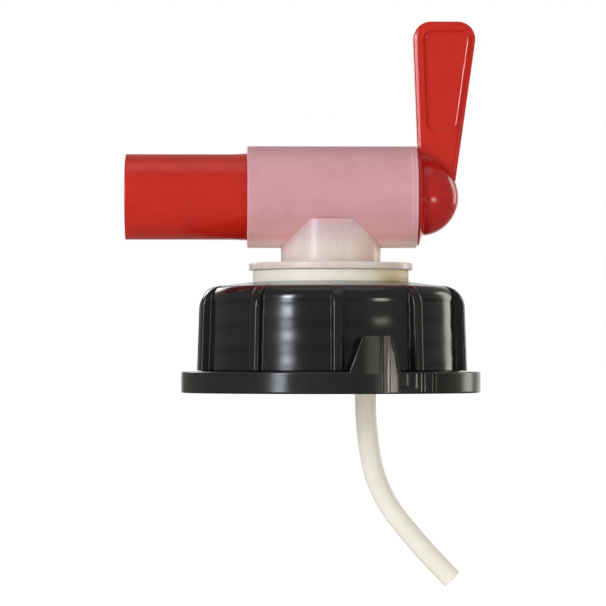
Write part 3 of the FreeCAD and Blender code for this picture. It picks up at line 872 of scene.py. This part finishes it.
def bandBits():
    # one bridge and one lug at the front as slabs, each repeated round the cap, the lugs between the bridges
    wide, deep, tall = band["bridge"]
    sunk, edge = band["bridgeSunk"], band["bridgeEdge"]
    face = rectangle(-wide / 2, band["top"] - sunk, wide / 2, band["top"] + tall + sunk, edge)
    middle = cap["bottomRadius"] - deep
    bridge = slab(face, middle - deep / 2, middle + deep / 2, edge, atFront)
    low = bandLow + band["lugStart"]
    high, radius, half = low + band["lugHeight"], band["inner"], band["lugWidth"] / 2
    lug = slab([
        (radius + band["lugSunk"], low, 0.05), (radius + band["lugSunk"], high, 0.05),
        (radius - band["lugReach"], high, 0.15), (radius - band["lugTip"], low, 0.05),
    ], -half, half, 0.15, acrossFront)
    step = 360 / cap["ribs"]
    bridges = [(swung(bridge[0], angle), *bridge[1:]) for angle in ribAngles]
    lugs = [(swung(lug[0], angle + step / 2), *lug[1:]) for angle in ribAngles]
    return bridges + lugs


makePiece("tearBand", [bandShell()] + bandBits(), "cap", "band_plastic", bandLook, ["tear_band"])

tab = {
    "angle": 17.5, "height": 9.3, "plate": 1.2, "edge": 0.3,
    "steps": (4, 10),  # points on a round edge and along the front
    # the plate's left and right side, mm across at mm over the band
    "left": [(-0.6, -8.7), (0.0, -8.7), (8.75, -5.41), (9.0, -5.25), (9.17, -5.05), (9.3, -4.7)],
    "right": [(-0.6, 5.1), (0.0, 5.1), (4.2, 4.21), (4.7, 4.05), (5.2, 3.87), (6.7, 3.19), (6.9, 3.0),
              (6.93, 2.0), (9.3, 2.0)],
    # a rib and a bar down its front: left side, width, how far they stand out, radius of their long edges
    "uprights": [(-1.05, 1.05, 0.4, 0.45), (0.35, 1.75, 0.62, 0.35)],
}


def curvedPlate():
    # Flat sections one over the other, each bent round the axis with angle = mm across / radius. A section
    # runs from the left side to the right one along the front and back along the rear, with round edges:
    # quarter circles of side = edge * (1 - sin), out = edge * (1 - cos).
    outer, edge = band["radius"], tab["edge"]
    inner = outer - tab["plate"]
    left, right = np.array(tab["left"]), np.array(tab["right"])
    topRows = [tab["height"] - edge, tab["height"] - 0.3 * edge]
    over = np.unique(np.concatenate([left[:, 0], right[:, 0], topRows]))
    inset = edge - np.sqrt(edge ** 2 - np.clip(over - tab["height"] + edge, 0, edge) ** 2)
    edgeSteps, flatSteps = tab["steps"]
    lean = np.linspace(0, math.pi / 2, edgeSteps)
    side, out, flat = edge * (1 - np.sin(lean)), edge * (1 - np.cos(lean)), np.zeros(flatSteps)
    share = np.concatenate([np.zeros(edgeSteps), np.linspace(0, 1, flatSteps + 2)[1:-1], np.ones(edgeSteps)])
    shift = np.concatenate([side[::-1], flat, -side])
    fall = np.concatenate([out[::-1], flat, out])
    inwards = np.append(-np.ones(len(share)), np.ones(len(share)))
    share, shift = np.append(share, share[::-1]), np.append(shift, shift[::-1])
    low, high = (np.interp(over, line[:, 0], line[:, 1])[:, None] for line in (left, right))
    across = low + (high - low) * share + shift
    radius = np.append(outer - fall, inner + fall[::-1]) + inset[:, None] * inwards
    angle = across / outer
    height = band["top"] + over[:, None] + 0 * angle
    return cappedShell(np.stack([radius * np.sin(angle), -radius * np.cos(angle), height], -1))


def tabShells():
    # the curved plate with its rib and bar as slabs, swung round to the tab's angle
    low, high = bandLow, band["top"] + tab["height"]
    shells = [curvedPlate()]
    for left, width, proud, edge in tab["uprights"]:
        face = rectangle(left, low, left + width, high, 0.5)
        shells.append(slab(face, band["radius"] - tab["plate"], band["radius"] + proud, edge, atFront))
    return [(swung(shell[0], tab["angle"]), *shell[1:]) for shell in shells]


makePiece("pullTab", tabShells(), "cap", "band_plastic", tabLook)
print("tear band made")

seal = {"inner": 22.5, "outer": 28.8, "low": 0.0, "high": 2.0, "edge": 0.2}
sealOutline = roundedOutline(rectangle(seal["inner"], seal["low"], seal["outer"], seal["high"], seal["edge"]))
makePiece(
    "capGasket", [closedShell(aboutCap(sealOutline))],
    "tap_body", "gasket_rubber", gasketLook, ["cap_gasket"],
)

ring = {
    "inner": 19.0, "flange": 28.6, "collar": 20.8, "low": 2.0, "flangeTop": 3.6, "top": 10.3, "edge": 0.25,
}
ringCorners = [
    (ring["inner"], ring["low"]), (ring["flange"], ring["low"]), (ring["flange"], ring["flangeTop"]),
    (ring["collar"], ring["flangeTop"]), (ring["collar"], ring["top"]), (ring["inner"], ring["top"]),
]
ringOutline = roundedOutline([(*corner, ring["edge"]) for corner in ringCorners])
makePiece(
    "adapterRing", [closedShell(aboutCap(ringOutline))],
    "tap_body", "cream_plastic", creamLook, ["adapter_ring"],
)
print("gasket and adapter ring made")

body = {
    "barrelLeft": -22.4, "barrelRight": 22.9, "barrelRadius": 13.6, "bore": 11.75, "bead": 21.3,
    "beadWidth": 1.2, "beadHeight": 0.4, "portRadius": 6.5, "portAt": -3.2, "cut": (10.0, 24.0),
    "neckRadius": 13.35, "neckBore": 11.35, "shelf": 23.8, "neckEdge": 1.0,
    "discRadius": 21.9, "discLow": 10.3, "discHigh": 12.2, "spigot": 18.95, "spigotBore": 17.05,
    "spigotLow": 0.5, "spigotLead": 18.35, "snap": 19.75, "snapLow": 1.25, "snapHigh": 2.0,
    "ventAt": 9.4, "ventBore": 1.2, "pipe": 2.8, "pipeLow": 2.0, "pipeHigh": 17.2,
    "nipple": 1.8, "nippleLow": -6.0,
}


def beadCorners(radius):
    # the snap bead on the plug, or its groove in the barrel, as (x, radius) from left to right
    middle, width, high = body["bead"], body["beadWidth"], radius + body["beadHeight"]
    left, right = middle - width, middle + width
    return [(left, radius), (middle - width / 2, high), (middle + width / 2, high), (right, radius)]


# From here on an outline's corners are (along, radius, rounding) or (radius, z, rounding).
tapBarrel = makePiece("tapBarrel", [closedShell(aboutBarrel(roundedOutline([
    (body["barrelLeft"], body["bore"], 0.25), (body["barrelLeft"], body["barrelRadius"], 0.35),
    (body["barrelRight"], body["barrelRadius"], 0.35), (body["barrelRight"], body["bore"], 0.2),
    *beadCorners(body["bore"])[::-1],
])))], "tap_body", "natural_plastic", pinkLook, ["tap_body"])


def boreCutter(radius, at, steps):
    # a cylinder that stands beside the cap's axis, to cut the neck's port and the vent into the barrel
    low, high = body["cut"]
    return closedShell(aboutCap(np.array([(0, low), (radius, low), (radius, high), (0, high)]), steps, at))


cutPiece(tapBarrel, [
    boreCutter(body["portRadius"], body["portAt"], 64), boreCutter(body["ventBore"], body["ventAt"], 32),
])
footOutline = roundedOutline([
    (body["spigotBore"], body["spigotLow"], 0.15), (body["spigotLead"], body["spigotLow"], 0.1),
    (body["snap"], body["snapLow"], 0.1), (body["snap"], body["snapHigh"], 0.1),
    (body["spigot"], body["snapHigh"]), (body["spigot"], body["discLow"]),
    (body["discRadius"], body["discLow"], 0.3), (body["discRadius"], body["discHigh"], 0.4),
    (body["neckRadius"], body["discHigh"], 0.6), (body["neckRadius"], body["shelf"], 0.3),
    (body["neckBore"], body["shelf"]), (body["neckBore"], body["discLow"], 0.3),
    (body["spigotBore"], body["discLow"], 0.8),
])
footGrid = aboutCap(footOutline, 192)
# The neck's upper edge follows the middle of the barrel's wall, no higher than the flat shelf:
# z = smaller of the shelf and axis - sqrt(wall radius squared - y squared)
wallRadius = (body["bore"] + body["barrelRadius"]) / 2
follow = barrelAxis - np.sqrt(np.maximum(wallRadius ** 2 - footGrid[..., 1] ** 2, 0))
upper = footGrid[..., 2] > body["shelf"] - body["neckEdge"]
footGrid[..., 2] -= np.where(upper, body["shelf"] - np.minimum(body["shelf"], follow), 0.0)
makePiece("tapNeck", [closedShell(footGrid)], "tap_body", "natural_plastic", neckLook)
makePiece("ventPipe", [closedShell(aboutCap(roundedOutline([
    (body["ventBore"], body["nippleLow"], 0.1), (body["nipple"], body["nippleLow"], 0.2),
    (body["nipple"], body["pipeLow"], 0.1), (body["pipe"], body["pipeLow"], 0.2),
    (body["pipe"], body["pipeHigh"]), (body["ventBore"], body["pipeHigh"]),
], 4, 0.05), 48, body["ventAt"]))], "tap_body", "natural_plastic", neckLook)
print("tap body made")

plug = {
    "tip": -54.9, "spout": 11.5, "channel": 9.6, "straightEnd": -26.0, "radius": 11.7, "collarLeft": 23.05,
    "collarRight": 23.45, "collar": 13.0, "dome": 10.45, "domeAt": 23.7, "channelEnd": 5.4, "window": 6.5,
    "airPort": 1.5, "cut": (8.0, 20.0),
    # the hollow round between the collar and the dome, and where the dome's arc starts, in degrees
    "hollow": [(24.5, 10.36, 0.45), (26.5, 10.0)], "domeStart": 9,
    # the partition's y, how far it goes into the channel's wall and past its end, and how far it stands back
    "partition": (-6.8, -5.8), "partitionSunk": 0.4, "partitionPast": 0.2, "partitionBehind": 0.3,
}
skin = openOutline([
    (plug["channelEnd"], 0.0), (plug["channelEnd"], plug["channel"], 0.6),
    (plug["tip"], plug["channel"], 0.25), (plug["tip"], plug["spout"], 0.35),
    (plug["straightEnd"], plug["spout"]), (body["barrelLeft"], plug["radius"]), *beadCorners(plug["radius"]),
    (plug["collarLeft"], plug["radius"]), (plug["collarLeft"], plug["collar"], 0.12),
    (plug["collarRight"], plug["collar"], 0.15), *plug["hollow"],
])
domeTurn = np.linspace(math.radians(plug["domeStart"]), math.pi / 2, 40)
domeArc = np.column_stack([plug["domeAt"] + plug["dome"] * np.sin(domeTurn), plug["dome"] * np.cos(domeTurn)])
plugOutline = np.concatenate([[(plug["channelEnd"], 0.0)], skin, domeArc])
plugBody = makePiece(
    "plugBody", [closedShell(aboutBarrel(plugOutline))], "plug", "red_plastic", redLook, ["plug"],
)


def portCutter(radius, at, steps):
    # a cylinder from inside the plug's channel towards +Y and out through its wall:
    # x = at + radius cos(angle), z = axis + radius sin(angle)
    angle = np.linspace(0, fullTurn, steps, endpoint=False)
    circle = np.stack([at + radius * np.cos(angle), 0 * angle, barrelAxis + radius * np.sin(angle)], -1)
    return cappedShell(np.stack([circle + (0, depth, 0) for depth in plug["cut"]]))


def alongBarrel(u, v, w):
    # u along the barrel, v up, w to the back
    return np.stack([u, w, v], -1)


def partitionShell():
    # an upright slab along the channel, its half height sqrt(radius squared - y squared) with some to sink in
    near, far = plug["partition"]
    halfHeight = math.sqrt((plug["channel"] + plug["partitionSunk"]) ** 2 - far ** 2)
    left, right = plug["tip"] + plug["partitionBehind"], plug["channelEnd"] + plug["partitionPast"]
    face = rectangle(left, barrelAxis - halfHeight, right, barrelAxis + halfHeight, 0.05)
    return slab(face, near, far, 0.2, alongBarrel)


cutPiece(plugBody, [
    portCutter(plug["window"], body["portAt"], 64), portCutter(plug["airPort"], body["ventAt"], 32),
])
makePiece("channelPartition", [partitionShell()], "plug", "red_plastic", redLook)

lever = {
    "top": 76.9, "thick": 4.0, "leftTop": 21.9, "leftAxis": 23.65, "rightTop": 39.4, "rightAxis": 32.7,
    "corner": 4.7, "edge": 0.45, "bevel": (1.05, 0.39), "panelLeft": 2.5, "panelRight": 1.2, "panelTop": 2.3,
    "panelBottom": 47.2, "panelCorner": 2.6, "depth": 0.85, "slope": 48, "lip": 0.15, "foot": 1.1,
    # radius of the fillet between dome and lever, at degrees up from the barrel's axis
    "fillet": [(24, 0.02), (29, 0.8), (34, 1.5), (60, 1.55), (74, 2.25), (88, 3.9), (92, 4.4)],
    # how far the fillet's back lies in the dome and in the lever: (out from the axis, away from the middle)
    "sunk": [(0.8, 0.2), (0.9, 0.5)],
}


def leverSides(z):
    # x of the left and the right side at a height, on straight lines from the barrel's axis to the top
    share = (z - barrelAxis) / (lever["top"] - barrelAxis)
    return (lever["leftAxis"] + (lever["leftTop"] - lever["leftAxis"]) * share,
            lever["rightAxis"] + (lever["rightTop"] - lever["rightAxis"]) * share)


def leverShell():
    # Nested outlines from one face's sunk panel, up its sloping wall, over the rim and the round edge, to the
    # other face. Rim and wall are runs of (inset from the outline, distance from the middle plane).
    outside = [
        (lever["leftAxis"], barrelAxis, 0.6), (lever["rightAxis"], barrelAxis, 0.6),
        (lever["rightTop"], lever["top"], lever["corner"]), (lever["leftTop"], lever["top"], lever["corner"]),
    ]
    low, high = lever["panelBottom"], lever["top"] - lever["panelTop"]
    (lowLeft, lowRight), (highLeft, highRight) = leverSides(low), leverSides(high)
    left, right, corner = lever["panelLeft"], lever["panelRight"], lever["panelCorner"]
    panel = [
        (lowLeft + left, low, corner), (lowRight - right, low, corner),
        (highRight - right, high, corner), (highLeft + left, high, corner),
    ]
    half, depth = lever["thick"] / 2, lever["depth"]
    wide, deep = lever["bevel"]
    rim = openOutline([(0.0, 0.0), (0.0, half - deep, lever["edge"]), (wide, half, 0.6), (2 * wide, half)], 7)
    run = depth / math.tan(math.radians(lever["slope"]))
    wall = openOutline([
        (-run, half), (0.0, half, lever["lip"]), (run, half - depth, lever["foot"]), (2 * run, half - depth),
    ], 6)
    front = [(outside, inset, out) for inset, out in rim] + [(panel, inset, out) for inset, out in wall]
    loops = [(*loop, -1) for loop in front[::-1]] + [(*loop, 1) for loop in front]
    grid = []
    for corners, inset, out, side in loops:
        outline = roundedOutline(insetCorners(corners, inset), 9, 0.02)
        grid.append(np.stack([outline[:, 0], np.full(len(outline), side * out), outline[:, 1]], -1))
    return cappedShell(np.array(grid))


makePiece("lever", [leverShell()], "plug", "red_plastic", redLook)


def leverFillet(side, steps=64):
    # A concave fillet between the dome and a face of the lever. Its circle touches both, so its middle lies
    # at (reach, half + radius) from the dome's middle, where reach squared is (dome + radius) squared less
    # (half + radius) squared. The arc runs from the lever's face at reach to the dome, and is carried round.
    marks = np.array(lever["fillet"])
    (domeOut, domeAway), (leverOut, leverAway) = lever["sunk"]
    degrees = np.linspace(marks[-1, 0], marks[0, 0], steps)[:, None]
    radius = np.interp(degrees, marks[:, 0], marks[:, 1])
    half, dome = lever["thick"] / 2, plug["dome"]
    reach = np.sqrt((dome + radius) ** 2 - (half + radius) ** 2)
    tilt = np.arctan2(half + radius, reach)
    bend = 1.5 * math.pi - (math.pi / 2 - tilt) * np.linspace(0, 1, 9)
    inside = half - leverAway + 0 * reach
    out = np.hstack([
        reach + radius * np.cos(bend), dome * np.cos(tilt) - domeOut, reach - leverOut, reach,
    ])
    away = np.hstack([
        half + radius + radius * np.sin(bend), dome * np.sin(tilt) - domeAway, inside, inside,
    ])
    turn = np.radians(degrees)
    x = plug["domeAt"] + out * np.cos(turn)
    return cappedShell(np.stack([x, side * away, barrelAxis + out * np.sin(turn)], -1))


makePiece("leverFillets", [leverFillet(-1), leverFillet(1)], "plug", "red_plastic", redLook)
print("plug and lever made")

scene = bpy.context.scene
scene.view_settings.view_transform = "Standard"
